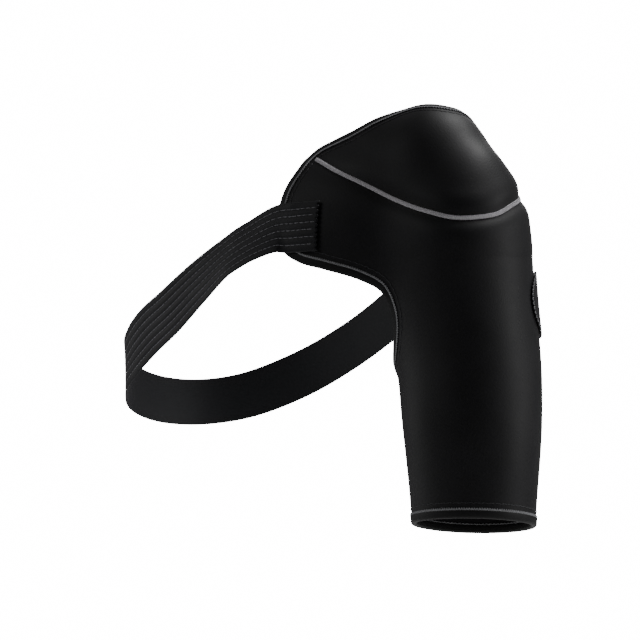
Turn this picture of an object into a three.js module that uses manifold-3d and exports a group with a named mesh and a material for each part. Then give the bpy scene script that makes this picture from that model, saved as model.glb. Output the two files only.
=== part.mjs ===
// A shoulder brace for the left side: a neoprene sleeve that opens into a front and a back
// wing, a domed cap panel over the shoulder, bound edges, and an elastic strap that runs
// from the front wing round the chest to the back wing.
// Millimetres, +Z up, +X outwards from the middle of the body, -Y to the front.
// The origin is the shoulder seat: the cap's inner face, at the top of the shoulder.
import * as THREE from "three";
import { mergeVertices } from "three/addons/utils/BufferGeometryUtils.js";
import Module from "manifold-3d";

// Driving sizes
const WALL = 3; // neoprene laminate
const CLEARANCE = 0.3; // between pieces that touch
const EDGE_CLEARANCE = 1.1; // between the panels' faces and the tape folded over them
const SLEEVE_DROP = 343; // shoulder seat down to the hem
const HEM_RISE = 9.6; // the hem is this much higher at its front outer side, and lower opposite
const HEM_TURN = 53; // degrees from straight outwards to where it is highest, towards the front
const SLEEVE_BORE = 110; // across the sleeve, inside, at its widest
const ARMPIT_DROP = 214; // shoulder seat down to the armpit
const SHOULDER_DEPTH = 126; // front to back of the shoulder, inside
const WING_REACH = 102; // shoulder seat to the tips of the wings, towards the middle
const WING_DEPTH = 96; // shoulder seat to the wing's face, forwards and backwards
const CHEST_WIDTH = 344; // across the strap loop
const CHEST_DEPTH = 237; // front to back of the strap loop
const CHEST_CENTRE = 195; // shoulder seat to the middle of the strap loop
const STRAP_DROP = 252; // shoulder seat down to the strap's lowest point
const STRAP_WIDTH = 43;
const STRAP_THICKNESS = 1.8;
const STRAP_RIBS = 7;
const RIB_HEIGHT = 0.5;
const BINDING_WIDTH = 7; // how far the edge tape folds onto each face
const BINDING_THICKNESS = 0.9;
const SEAM_WIDTH = 4.4; // raised flat seam round the cap
const SEAM_HEIGHT = 0.9;
const PAD_LENGTH = 24; // hook tape under the strap's front end
const PAD_WIDTH = 31;
const PAD_INSET = 2; // from the strap's end to the pad
const PAD_THICKNESS = 1.2;
const TAB_WIDTH = 54; // closing tab on the back of the sleeve
const TAB_LENGTH = 76;
const TAB_THICKNESS = 2.4;
const BLEND = 16; // how softly the rounded masses run into each other

// How finely the faces are cut
const SLEEVE_ROWS = 12;
const YOKE_ROWS = 19;
const COLUMNS = 48;
const ARMPIT_COLUMNS = 8; // on each side of the armpit, below the open edge
const STRAP_STEPS = 58;
const SEAM_STEPS = 44;
const TAB_STEPS = 12;

// The brace is cut to a form of rounded masses that run into each other. Each mass is an
// ellipsoid: its centre towards the outside, to the back and down, then its half sizes.
// out and halfWidth are shares of SLEEVE_BORE, back and halfDepth of SHOULDER_DEPTH, and
// down and halfHeight of ARMPIT_DROP.
const MASSES = [
  { name: "point", out: -0.032, back: 0.009, down: 0.615, halfWidth: 0.195, halfDepth: 0.22, halfHeight: 0.386 },
  { name: "bulge", out: 0.226, back: 0.027, down: 0.567, halfWidth: 0.285, halfDepth: 0.343, halfHeight: 0.356 },
  { name: "ridge", out: -0.885, back: 0.133, down: 0.039, halfWidth: 0.243, halfDepth: 0.391, halfHeight: 0.161 },
  { name: "front", out: -1.0, back: -0.2, down: 0.589, halfWidth: 0.82, halfDepth: 0.556, halfHeight: 0.452 },
  { name: "rear", out: -0.9, back: 0.36, down: 0.589, halfWidth: 0.76, halfDepth: 0.42, halfHeight: 0.46 },
  { name: "crown", out: -0.112, back: 0.001, down: 0.221, halfWidth: 0.238, halfDepth: 0.276, halfHeight: 0.218 },
  { name: "saddle", out: -0.469, back: -0.164, down: 0.262, halfWidth: 0.22, halfDepth: 0.192, halfHeight: 0.197 },
];

// The sleeve's own tube, from the bulge down past the hem: centre and radius at each height.
// down is a share of SLEEVE_DROP, out, back and radius are shares of SLEEVE_BORE.
const TUBE = [
  { down: 0.36, out: 0.0, back: 0.02, radius: 0.422 },
  { down: 0.57, out: 0.21, back: 0.0, radius: 0.467 },
  { down: 0.75, out: 0.277, back: -0.05, radius: 0.495 },
  { down: 1.0, out: 0.342, back: -0.11, radius: 0.438 },
  { down: 1.12, out: 0.37, back: -0.13, radius: 0.42 },
];

// The open edge, from the armpit up the front, round the front wing, over the shoulder and
// down the back. in is a share of WING_REACH, back of WING_DEPTH and down of ARMPIT_DROP.
const OPEN_EDGE = [
  { name: "armpit", in: 0.32, back: 0, down: 1 },
  { name: "front armpit", in: 0.21, back: -0.37, down: 0.965 },
  { name: "front hollow", in: 0.145, back: -0.48, down: 0.9 },
  { name: "front turn", in: 0.11, back: -0.55, down: 0.8 },
  { name: "front turn out", in: 0.185, back: -0.625, down: 0.705 },
  { name: "under the wing", in: 0.36, back: -0.74, down: 0.65 },
  { name: "lower wing", in: 0.607, back: -0.893, down: 0.611 },
  { name: "front corner", in: 0.83, back: -0.967, down: 0.582 },
  { name: "front wing tip", in: 0.985, back: -0.986, down: 0.537 },
  { name: "front middle", in: 1.07, back: -0.955, down: 0.435 },
  { name: "front upper", in: 1.09, back: -0.85, down: 0.31 },
  { name: "front rise", in: 1.045, back: -0.735, down: 0.225 },
  { name: "front top", in: 1.02, back: -0.62, down: 0.165 },
  { name: "collar start", in: 0.83, back: -0.53, down: 0.11 },
  { name: "collar front", in: 0.61, back: -0.455, down: 0.062 },
  { name: "collar", in: 0.44, back: -0.34, down: 0.022 },
  { name: "collar inner", in: 0.34, back: -0.255, down: -0.006 },
  { name: "before the crest", in: 0.225, back: -0.183, down: -0.014 },
  { name: "crest", in: 0.11, back: -0.12, down: -0.016 },
  { name: "over the crest", in: 0.03, back: -0.02, down: -0.006 },
  { name: "over the top", in: 0.01, back: 0.14, down: 0.005 },
  { name: "behind the top", in: 0.06, back: 0.34, down: 0.06 },
  { name: "collar back", in: 0.19, back: 0.56, down: 0.145 },
  { name: "back top", in: 0.42, back: 0.75, down: 0.235 },
  { name: "back upper", in: 0.78, back: 0.91, down: 0.31 },
  { name: "back wing tip", in: 0.92, back: 1, down: 0.45 },
  { name: "back corner", in: 0.84, back: 0.98, down: 0.56 },
  { name: "under the back", in: 0.56, back: 0.88, down: 0.64 },
  { name: "back turn out", in: 0.3, back: 0.72, down: 0.72 },
  { name: "back turn", in: 0.2, back: 0.58, down: 0.8 },
  { name: "back hollow", in: 0.2, back: 0.45, down: 0.9 },
  { name: "back armpit", in: 0.26, back: 0.3, down: 0.965 },
];
// The rows of OPEN_EDGE where the wings leave the sleeve, and where their tips are
const FRONT_SPLIT = 3;
const FRONT_CORNER = 8;
const BACK_CORNER = 25;
const BACK_SPLIT = 29;

// The seam under the cap, from beyond the open edge in front, round the outside, to the back.
// out is a share of SLEEVE_BORE, back of SHOULDER_DEPTH and down of ARMPIT_DROP.
const CAP_SEAM = [
  { name: "past the front", out: -1.02, back: -0.56, down: 0.115 },
  { name: "front edge", out: -0.83, back: -0.556, down: 0.168 },
  { name: "front", out: -0.607, back: -0.55, down: 0.228 },
  { name: "front slope", out: -0.351, back: -0.466, down: 0.298 },
  { name: "front hollow", out: -0.082, back: -0.406, down: 0.359 },
  { name: "front side", out: 0.16, back: -0.405, down: 0.395 },
  { name: "outer front", out: 0.393, back: -0.319, down: 0.425 },
  { name: "outside", out: 0.53, back: -0.09, down: 0.413 },
  { name: "turn back", out: 0.522, back: 0.098, down: 0.373 },
  { name: "outer back", out: 0.45, back: 0.28, down: 0.34 },
  { name: "back side", out: 0.2, back: 0.46, down: 0.31 },
  { name: "back slope", out: -0.12, back: 0.57, down: 0.27 },
  { name: "back edge", out: -0.42, back: 0.66, down: 0.22 },
  { name: "past the back", out: -0.76, back: 0.72, down: 0.13 },
];

// The strap's middle line, from its front end round the chest to its back end. side is a
// share of CHEST_WIDTH from the loop's middle, back of CHEST_DEPTH, down of STRAP_DROP, and
// lean is how far the face tips upwards, in degrees.
const STRAP_PATH = [
  { name: "front end", side: 0.371, back: -0.367, down: 0.382, lean: 8 },
  { name: "on the wing", side: 0.294, back: -0.401, down: 0.387, lean: 9 },
  { name: "over the edge", side: 0.256, back: -0.414, down: 0.389, lean: 18 },
  { name: "leaving the wing", side: 0.172, back: -0.439, down: 0.433, lean: 29 },
  { name: "breast", side: 0.11, back: -0.454, down: 0.476, lean: 29 },
  { name: "middle", side: 0.006, back: -0.462, down: 0.567, lean: 13 },
  { name: "past the middle", side: -0.11, back: -0.452, down: 0.667, lean: -3 },
  { name: "far breast", side: -0.215, back: -0.42, down: 0.736, lean: -9 },
  { name: "far front", side: -0.305, back: -0.38, down: 0.806, lean: -6 },
  { name: "far corner", side: -0.369, back: -0.329, down: 0.857, lean: -2 },
  { name: "under the far side", side: -0.451, back: -0.203, down: 0.929, lean: 0 },
  { name: "far side", side: -0.497, back: 0, down: 0.984, lean: 0 },
  { name: "far back", side: -0.483, back: 0.203, down: 1, lean: 0 },
  { name: "back corner", side: -0.416, back: 0.359, down: 0.976, lean: 0 },
  { name: "back", side: -0.29, back: 0.481, down: 0.897, lean: 0 },
  { name: "blade", side: -0.131, back: 0.532, down: 0.786, lean: 0 },
  { name: "back middle", side: 0.029, back: 0.536, down: 0.663, lean: 6 },
  { name: "leaving the back wing", side: 0.174, back: 0.511, down: 0.548, lean: 10 },
  { name: "over the back edge", side: 0.282, back: 0.464, down: 0.456, lean: 10 },
  { name: "back end", side: 0.375, back: 0.409, down: 0.397, lean: 8 },
];

const wasm = await Module();
wasm.setup();

const vec = (x, y, z) => new THREE.Vector3(x, y, z);
const mix = THREE.MathUtils.lerp;
const smooth = THREE.MathUtils.smoothstep;

// The fit form

const masses = MASSES.map((m) => ({
  centre: vec(m.out * SLEEVE_BORE, m.back * SHOULDER_DEPTH, -m.down * ARMPIT_DROP),
  half: vec(m.halfWidth * SLEEVE_BORE, m.halfDepth * SHOULDER_DEPTH, m.halfHeight * ARMPIT_DROP),
}));

// Roughly how far p is outside an ellipsoid.
function massDistance(p, mass) {
  const q = p.clone().sub(mass.centre);
  const near = q.clone().divide(mass.half);
  const steep = near.clone().divide(mass.half);
  const share = near.length();
  return (share * (share - 1)) / Math.max(steep.length(), 1e-9);
}

// The tube's middle and radius at a depth below the shoulder seat.
const tubeShape = new THREE.CubicInterpolant(
  TUBE.map((t) => t.down * SLEEVE_DROP),
  TUBE.flatMap((t) => [t.out, t.back, t.radius].map((share) => share * SLEEVE_BORE)),
  3,
  new Float64Array(3),
);

function tubeAt(drop) {
  const [x, y, radius] = tubeShape.evaluate(drop);
  return { centre: vec(x, y, -drop), radius };
}

// How far p is outside the tube, which is rounded off at its top.
function tubeDistance(p) {
  const top = -TUBE[0].down * SLEEVE_DROP;
  const { centre, radius } = tubeAt(Math.max(-p.z, -top));
  return Math.hypot(p.x - centre.x, p.y - centre.y, Math.max(p.z - top, 0)) - radius;
}

// How far p is outside the blended form; below zero inside it.
function formDistance(p) {
  let sum = 0;
  for (const mass of masses) sum += Math.exp(-massDistance(p, mass) / BLEND);
  sum += Math.exp(-tubeDistance(p) / BLEND);
  return -BLEND * Math.log(sum);
}

const PROBE = 0.5; // step for measuring the form's slope

function formSlope(p) {
  const along = (axis) => {
    const a = p.clone().addScaledVector(axis, PROBE);
    const b = p.clone().addScaledVector(axis, -PROBE);
    return (formDistance(a) - formDistance(b)) / (2 * PROBE);
  };
  return vec(along(vec(1, 0, 0)), along(vec(0, 1, 0)), along(vec(0, 0, 1)));
}

// The point of the form nearest to a guess, raised by lift along the form's normal.
function onForm(guess, lift = 0) {
  const p = guess.clone();
  for (let i = 0; i < 12; i++) {
    const slope = formSlope(p);
    p.addScaledVector(slope, -formDistance(p) / slope.lengthSq());
  }
  return lift ? p.addScaledVector(formSlope(p).normalize(), lift) : p;
}

// The masses are shifted up or down until the form's top passes through the shoulder seat.
let seatHeight = -ARMPIT_DROP / 4;
for (let step = -seatHeight; step > 1e-4; step /= 2) {
  if (formDistance(vec(0, 0, seatHeight + step)) < 0) seatHeight += step;
}
for (const mass of masses) mass.centre.z -= seatHeight;

// Curves

const openEdge = new THREE.CatmullRomCurve3(
  OPEN_EDGE.map((e) => onForm(vec(-e.in * WING_REACH, e.back * WING_DEPTH, -e.down * ARMPIT_DROP))),
  true,
  "centripetal",
);

// The stretch of the open edge between two rows of its table, with even spacing.
function edgeStretch(from, to) {
  const points = [];
  const samples = 60;
  for (let i = 0; i <= samples; i++) {
    const at = mix(from, to, i / samples) / OPEN_EDGE.length;
    points.push(openEdge.getPoint(at - Math.floor(at)));
  }
  return new THREE.CatmullRomCurve3(points);
}
const underFront = edgeStretch(0, FRONT_SPLIT);
const frontEdge = edgeStretch(FRONT_SPLIT, FRONT_CORNER);
const topEdge = edgeStretch(FRONT_CORNER, BACK_CORNER);
const backEdge = edgeStretch(BACK_SPLIT, BACK_CORNER);
const underBack = edgeStretch(OPEN_EDGE.length, BACK_SPLIT);

// Places round the sleeve run from -1 at the armpit, by the front, the outside (0) and the
// back, to 1. The wings leave the sleeve at splitAround before and behind.
const splitAround = 1 - (2 * ARMPIT_COLUMNS) / COLUMNS;
const frontSplit = frontEdge.getPointAt(0);
const backSplit = backEdge.getPointAt(0);

// The angle round the tube at which a point of the front or the back side lies.
function angleAround(p, side) {
  const { centre } = tubeAt(-p.z);
  const angle = Math.atan2(p.y - centre.y, p.x - centre.x);
  return angle * side < -Math.PI / 2 ? angle + side * 2 * Math.PI : angle;
}

function besideTube(angle, drop) {
  const { centre, radius } = tubeAt(drop);
  return onForm(centre.addScaledVector(vec(Math.cos(angle), Math.sin(angle), 0), radius));
}

// The sleeve's top: the open edge under the armpit, and a ring round the rest.
function sleeveTop(around) {
  const share = Math.abs(around);
  if (share >= splitAround) {
    return (around < 0 ? underFront : underBack).getPointAt((1 - share) / (1 - splitAround));
  }
  const split = around < 0 ? frontSplit : backSplit;
  const across = around / splitAround;
  const drop = mix(-frontSplit.z, -backSplit.z, (across + 1) / 2);
  return besideTube(Math.abs(across) * angleAround(split, Math.sign(around) || 1), drop);
}

// A point of the sleeve: up runs from 0 at the hem to 1 at the sleeve's top.
function sleevePoint(around, up) {
  const top = sleeveTop(around);
  if (up === 1) return top;
  const angle = mix(Math.PI * around, angleAround(top, Math.sign(around) || 1), up);
  const hem = SLEEVE_DROP - HEM_RISE * Math.cos(angle + THREE.MathUtils.degToRad(HEM_TURN));
  return besideTube(angle, mix(hem, -top.z, up));
}

// The point of the form on the ray from its core through a guess.
const core = vec(-0.2 * SLEEVE_BORE, 0, -0.51 * ARMPIT_DROP);

function castOnForm(guess) {
  const ray = guess.clone().sub(core).normalize();
  let low = 0;
  let high = CHEST_WIDTH;
  for (let i = 0; i < 40; i++) {
    const reach = (low + high) / 2;
    if (formDistance(core.clone().addScaledVector(ray, reach)) < 0) low = reach;
    else high = reach;
  }
  return core.clone().addScaledVector(ray, low);
}

// The line over the outside of the shoulder, from the sleeve's top to the open edge's crest.
function outsidePoint(up) {
  const start = sleeveTop(0).sub(core).normalize();
  const end = topEdge.getPointAt(0.5).sub(core).normalize();
  const turn = start.angleTo(end);
  const way = start.multiplyScalar(Math.sin((1 - up) * turn)).addScaledVector(end, Math.sin(up * turn));
  return castOnForm(way.add(core));
}

// A point of the yoke, the part above the sleeve: a front and a back patch, each between
// the sleeve's top, the open edge and the line over the outside.
function yokePoint(around, up) {
  const toFront = around < 0;
  const edge = toFront ? frontEdge : backEdge;
  const share = Math.abs(around) / splitAround;
  const topAt = (s) => topEdge.getPointAt(toFront ? (1 - s) / 2 : (1 + s) / 2);
  const corners = sleeveTop(0)
    .multiplyScalar((1 - share) * (1 - up))
    .addScaledVector(topAt(0), (1 - share) * up)
    .addScaledVector(edge.getPointAt(0), share * (1 - up))
    .addScaledVector(topAt(1), share * up);
  const p = sleeveTop(around)
    .multiplyScalar(1 - up)
    .addScaledVector(topAt(share), up)
    .addScaledVector(outsidePoint(up), 1 - share)
    .addScaledVector(edge.getPointAt(up), share)
    .sub(corners);
  return castOnForm(p);
}

// Solids

function geometryFrom(points, triangles) {
  const g = new THREE.BufferGeometry();
  g.setAttribute("position", new THREE.Float32BufferAttribute(points.flatMap((p) => p.toArray()), 3));
  g.setIndex(triangles);
  return g;
}

function toManifold(geometry) {
  const merged = mergeVertices(geometry, 1e-3);
  return new wasm.Manifold(
    new wasm.Mesh({
      numProp: 3,
      vertProperties: new Float32Array(merged.attributes.position.array),
      triVerts: new Uint32Array(merged.index.array),
    }),
  );
}

function fromManifold(solid) {
  const mesh = solid.getMesh();
  const g = new THREE.BufferGeometry();
  g.setAttribute("position", new THREE.BufferAttribute(new Float32Array(mesh.vertProperties), 3));
  g.setIndex(new THREE.BufferAttribute(new Uint32Array(mesh.triVerts), 1));
  return g;
}

// The two triangles of a quad, split along its shorter diagonal.
function quad(points, [a, b, c, d]) {
  const short = points[a].distanceTo(points[c]) <= points[b].distanceTo(points[d]);
  return short ? [a, b, c, a, c, d] : [a, b, d, b, c, d];
}

// Sections are rings of points, all with as many points. The solid runs through them, and
// closes on itself or is capped at both ends. The first lowerCount points of a section run
// along its underside from one side to the other, and the rest come back over its top.
function loft(sections, lowerCount, closed = false) {
  const count = sections[0].length;
  const points = sections.flat();
  const triangles = [];
  const spans = closed ? sections.length : sections.length - 1;
  for (let i = 0; i < spans; i++) {
    const next = (i + 1) % sections.length;
    for (let k = 0; k < count; k++) {
      const k2 = (k + 1) % count;
      triangles.push(...quad(points, [i * count + k, i * count + k2, next * count + k2, next * count + k]));
    }
  }
  if (!closed) {
    const last = (sections.length - 1) * count;
    for (const [a, b, c] of capTriangles(lowerCount, count)) {
      triangles.push(a, c, b, last + a, last + b, last + c);
    }
  }
  const geometry = geometryFrom(points, triangles);
  if (toManifold(geometry).volume() < 0) geometry.setIndex(triangles.reverse());
  return geometry;
}

// Triangles over a section's end, zipped between its underside and its top.
function capTriangles(lowerCount, count) {
  const triangles = [];
  let low = 0;
  let high = count - 1;
  while (low < lowerCount - 1 || high > lowerCount) {
    const lowShare = (low + 1) / (lowerCount - 1);
    const highShare = (count - high) / (count - 1 - lowerCount);
    if (lowShare <= highShare) triangles.push([low, ++low, high]);
    else triangles.push([low, high - 1, high--]);
  }
  return triangles;
}

// The neoprene shell: a grid of points on the form, each with its normal, given a wall.
// The sleeve's rows close on themselves, and the yoke's rows run from edge to edge.
const sleeveGrid = [];
for (let j = 0; j <= SLEEVE_ROWS; j++) {
  sleeveGrid.push(gridRow(0, COLUMNS - 1, (around) => sleevePoint(around, j / SLEEVE_ROWS)));
}
const yokeGrid = [];
for (let j = 1; j <= YOKE_ROWS; j++) {
  yokeGrid.push(gridRow(ARMPIT_COLUMNS, COLUMNS - ARMPIT_COLUMNS, (around) => yokePoint(around, j / YOKE_ROWS)));
}

function gridRow(first, last, point) {
  const row = [];
  for (let i = first; i <= last; i++) {
    const p = point(-1 + (2 * i) / COLUMNS);
    row[i] = { p, normal: formSlope(p).normalize() };
  }
  return row;
}

// The grid's point in a row counted from the hem, and a column counted from the armpit.
const gridAt = (j, i) => (j <= SLEEVE_ROWS ? sleeveGrid[j][i % COLUMNS] : yokeGrid[j - SLEEVE_ROWS - 1][i]);

function shellGeometry() {
  const grid = [...sleeveGrid, ...yokeGrid].flatMap((row) => row.filter(Boolean));
  const place = new Map(grid.map((g, i) => [g, i]));
  const points = [...grid.map((g) => g.p), ...grid.map((g) => g.p.clone().addScaledVector(g.normal, WALL))];
  const shift = grid.length;
  const at = (j, i) => place.get(gridAt(j, i));
  const triangles = [];
  for (let j = 0; j < SLEEVE_ROWS + YOKE_ROWS; j++) {
    const skipped = j < SLEEVE_ROWS ? 0 : ARMPIT_COLUMNS;
    for (let i = skipped; i < COLUMNS - skipped; i++) {
      const inner = quad(points, [at(j, i), at(j, i + 1), at(j + 1, i + 1), at(j + 1, i)]);
      triangles.push(...inner.map((k) => k + shift), ...inner.reverse());
    }
  }
  for (const loop of [hemLoop, openLoop]) {
    loop.forEach(({ edge }, i) => {
      const [a, b] = [place.get(edge), place.get(loop[(i + 1) % loop.length].edge)];
      triangles.push(...quad(points, [b, a, shift + a, shift + b]));
    });
  }
  return geometryFrom(points, triangles);
}

// The loops of the shell's edges: each place is a point of the edge and the next point in
// from it. The open edge runs from the armpit up the front, over the top and down the back.
const hemLoop = [];
for (let i = COLUMNS; i > 0; i--) hemLoop.push({ edge: gridAt(0, i), next: gridAt(1, i) });

const openLoop = [];
const topRow = SLEEVE_ROWS + YOKE_ROWS;
const backColumn = COLUMNS - ARMPIT_COLUMNS;
const openPlace = (j, i, nextJ, nextI) => openLoop.push({ edge: gridAt(j, i), next: gridAt(nextJ, nextI) });
for (let i = 0; i < ARMPIT_COLUMNS; i++) openPlace(SLEEVE_ROWS, i, SLEEVE_ROWS - 1, i);
openPlace(SLEEVE_ROWS, ARMPIT_COLUMNS, SLEEVE_ROWS - 1, ARMPIT_COLUMNS + 1);
for (let j = SLEEVE_ROWS + 1; j < topRow; j++) openPlace(j, ARMPIT_COLUMNS, j, ARMPIT_COLUMNS + 1);
for (let i = ARMPIT_COLUMNS; i <= backColumn; i++) {
  openPlace(topRow, i, topRow - 1, THREE.MathUtils.clamp(i, ARMPIT_COLUMNS + 1, backColumn - 1));
}
for (let j = topRow - 1; j > SLEEVE_ROWS; j--) openPlace(j, backColumn, j, backColumn - 1);
openPlace(SLEEVE_ROWS, backColumn, SLEEVE_ROWS - 1, backColumn - 1);
for (let i = backColumn + 1; i < COLUMNS; i++) openPlace(SLEEVE_ROWS, i, SLEEVE_ROWS - 1, i);

// A run of stations along a line on the form, each with its normal and its sideways
// direction, which is the run's tangent turned about the normal.
function stationsAlong(points) {
  return points.map((p, i) => {
    const before = points[Math.max(i - 1, 0)];
    const after = points[Math.min(i + 1, points.length - 1)];
    const normal = formSlope(p).normalize();
    const side = normal.clone().cross(after.clone().sub(before)).normalize();
    return { p, normal, side };
  });
}

// The outline's points at a station: x runs sideways over the form, y is the height over it.
function sectionAt(station, outline) {
  return outline.map((o) => onForm(station.p.clone().addScaledVector(station.side, o.x), o.y));
}

// Edge tape folded over the shell's edge. x is positive beyond the edge.
function bindingOutline() {
  const t = BINDING_THICKNESS;
  const beyond = CLEARANCE;
  const over = WALL + EDGE_CLEARANCE;
  const under = -EDGE_CLEARANCE;
  return [
    [-BINDING_WIDTH, over],
    [beyond, over],
    [beyond, under],
    [-BINDING_WIDTH, under],
    [-BINDING_WIDTH, under - t],
    [beyond + t / 2, under - t],
    [beyond + t, under + t],
    [beyond + t, over - t],
    [beyond + t / 2, over + t],
    [-BINDING_WIDTH, over + t],
  ].map(([x, y]) => new THREE.Vector2(x, y));
}

function alongEdge(loop, outline) {
  const sections = loop.map(({ edge, next }, i) => {
    const tangent = loop[(i + 1) % loop.length].edge.p.clone().sub(loop.at(i - 1).edge.p).normalize();
    const inwards = next.p.clone().sub(edge.p);
    const width = inwards.clone().addScaledVector(tangent, -inwards.dot(tangent)).length();
    return outline.map((o) => {
      const share = -o.x / width;
      const normal = edge.normal.clone().lerp(next.normal, Math.max(share, 0));
      return edge.p.clone().addScaledVector(inwards, share).addScaledVector(normal, o.y);
    });
  });
  return loft(sections, outline.length, true);
}

// The room that an edge's tape takes, and all beyond it.
function edgeRoomOutline() {
  const inside = -BINDING_WIDTH - CLEARANCE;
  const beyond = 6 * BINDING_WIDTH;
  const corners = [[inside, -2 * WALL], [beyond, -2 * WALL], [beyond, 3 * WALL], [inside, 3 * WALL]];
  return corners.map(([x, y]) => new THREE.Vector2(x, y));
}

// The seam round the cap

const seamCurve = new THREE.CatmullRomCurve3(
  CAP_SEAM.map((s) => onForm(vec(s.out * SLEEVE_BORE, s.back * SHOULDER_DEPTH, -s.down * ARMPIT_DROP))),
);
const seamPoints = [];
for (let i = 0; i <= SEAM_STEPS; i++) seamPoints.push(onForm(seamCurve.getPointAt(i / SEAM_STEPS)));

// The raised band over the seam, a little domed.
function seamBandGeometry() {
  const half = SEAM_WIDTH / 2;
  const low = WALL + 2 * CLEARANCE;
  const high = low + SEAM_HEIGHT;
  const shoulder = high - SEAM_HEIGHT / 3;
  const corners = [[-half, low], [half, low], [half, shoulder], [0, high], [-half, shoulder]];
  const outline = corners.map(([x, y]) => new THREE.Vector2(x, y));
  return loft(stationsAlong(seamPoints).map((s) => sectionAt(s, outline)), 2);
}

// The thin gap between the sleeve panel and the cap panel.
function seamGapGeometry() {
  const half = CLEARANCE / 2;
  const corners = [[-half, -2 * WALL], [half, -2 * WALL], [half, 3 * WALL], [-half, 3 * WALL]];
  const sections = stationsAlong(seamPoints).map((s) =>
    corners.map(([x, y]) => s.p.clone().addScaledVector(s.side, x).addScaledVector(s.normal, y)),
  );
  return loft(sections, 2);
}

// The strap

const strapCurve = new THREE.CatmullRomCurve3(
  STRAP_PATH.map((s) =>
    vec(s.side * CHEST_WIDTH - CHEST_CENTRE, s.back * CHEST_DEPTH, -s.down * STRAP_DROP),
  ),
  false,
  "centripetal",
);
const strapOnWing = WALL + EDGE_CLEARANCE + BINDING_THICKNESS + 2.5 * CLEARANCE;

const leanCurve = new THREE.SplineCurve(STRAP_PATH.map((s, i) => new THREE.Vector2(i, s.lean)));

function strapStation(share) {
  const p = strapCurve.getPointAt(share);
  const tangent = strapCurve.getTangentAt(share);
  const lean = THREE.MathUtils.degToRad(leanCurve.getPoint(strapCurve.getUtoTmapping(share)).y);
  const flat = vec(-tangent.y, tangent.x, 0).normalize();
  const normal = flat.multiplyScalar(Math.cos(lean)).add(vec(0, 0, Math.sin(lean)));
  const up = tangent.clone().cross(normal).normalize();
  return { p, normal: up.clone().cross(tangent), up };
}

// A point of the strap: across is up its width, height is over its inner face. Where it
// lies on a wing it is lifted clear of the wing's face and its binding.
function strapPoint(station, across, height) {
  const p = station.p.clone().addScaledVector(station.up, across);
  const foot = onForm(p);
  const out = formSlope(foot).normalize();
  if (p.clone().sub(foot).dot(out) < strapOnWing) p.copy(foot).addScaledVector(out, strapOnWing);
  return p.addScaledVector(station.normal, height);
}

function strapOutline() {
  const half = STRAP_WIDTH / 2;
  const points = [1, 0.5, 0, -0.5, -1].map((share) => new THREE.Vector2(share * half, 0));
  const pitch = STRAP_WIDTH / STRAP_RIBS;
  for (let i = 0; i < STRAP_RIBS; i++) {
    points.push(new THREE.Vector2(-half + i * pitch, STRAP_THICKNESS - RIB_HEIGHT));
    points.push(new THREE.Vector2(-half + (i + 0.5) * pitch, STRAP_THICKNESS));
  }
  points.push(new THREE.Vector2(half, STRAP_THICKNESS - RIB_HEIGHT));
  return points;
}

function strapGeometry() {
  const outline = strapOutline();
  const sections = [];
  for (let i = 0; i <= STRAP_STEPS; i++) {
    const even = i / STRAP_STEPS;
    const station = strapStation(even - (0.55 * Math.sin(2 * Math.PI * even)) / (2 * Math.PI)); // closer at the ends
    sections.push(outline.map((o) => strapPoint(station, o.x, o.y)));
  }
  return loft(sections, 5);
}

// Flat pieces that lie on the sleeve or a wing: point(along, across) is on the form.
function patchGeometry(steps, columns, low, high, point) {
  const outline = [];
  for (let k = 0; k <= columns; k++) outline.push(new THREE.Vector2(k / columns - 0.5, 0));
  for (let k = columns; k >= 0; k--) outline.push(new THREE.Vector2(k / columns - 0.5, 1));
  const sections = [];
  for (let i = 0; i <= steps; i++) {
    sections.push(outline.map((o) => onForm(point(i / steps, o.x), mix(low, high, o.y))));
  }
  return loft(sections, columns + 1);
}

// Hook tape under the strap's front end.
function padGeometry() {
  const length = strapCurve.getLength();
  const low = WALL + CLEARANCE;
  return patchGeometry(3, 5, low, low + PAD_THICKNESS, (along, across) => {
    const station = strapStation((along * PAD_LENGTH + PAD_INSET) / length);
    return station.p.addScaledVector(station.up, across * PAD_WIDTH);
  });
}

// The closing tab: a tongue with a round front end that lies round the back of the sleeve.
const TAB_START = 24; // degrees from straight outwards to the tip, towards the back
const TAB_DROP = 163; // shoulder seat to the tab's middle

function tabGeometry() {
  const low = WALL + 2 * CLEARANCE;
  const ring = tubeAt(TAB_DROP);
  const radius = ring.radius + WALL;
  return patchGeometry(TAB_STEPS, 6, low, low + TAB_THICKNESS, (along, across) => {
    const reach = TAB_LENGTH * Math.pow(along, 1.7) + 0.6;
    const round = Math.min(reach / (TAB_WIDTH / 2), 1);
    const width = TAB_WIDTH * Math.sqrt(1 - (1 - round) * (1 - round));
    const angle = THREE.MathUtils.degToRad(TAB_START) + reach / radius;
    const out = vec(Math.cos(angle), Math.sin(angle), 0).multiplyScalar(radius);
    return ring.centre.clone().add(out).add(vec(0, 0, across * width));
  });
}

// The brace

const brace = new THREE.Group();
brace.name = "shoulder_brace";

function add(name, geometry, color, roughness) {
  geometry.computeVertexNormals();
  const material = new THREE.MeshStandardMaterial({ color, roughness, metalness: 0 });
  const mesh = new THREE.Mesh(geometry, material);
  mesh.name = name;
  brace.add(mesh);
  return mesh;
}

const largestFirst = (solid) => solid.decompose().sort((a, b) => b.volume() - a.volume());
const edgeRoom = toManifold(alongEdge(openLoop, edgeRoomOutline()));
const seamGap = toManifold(seamGapGeometry());
const [sleevePanel, capPanel] = largestFirst(toManifold(shellGeometry()).subtract(seamGap));
const [seamBand] = largestFirst(toManifold(seamBandGeometry()).subtract(edgeRoom));

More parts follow.
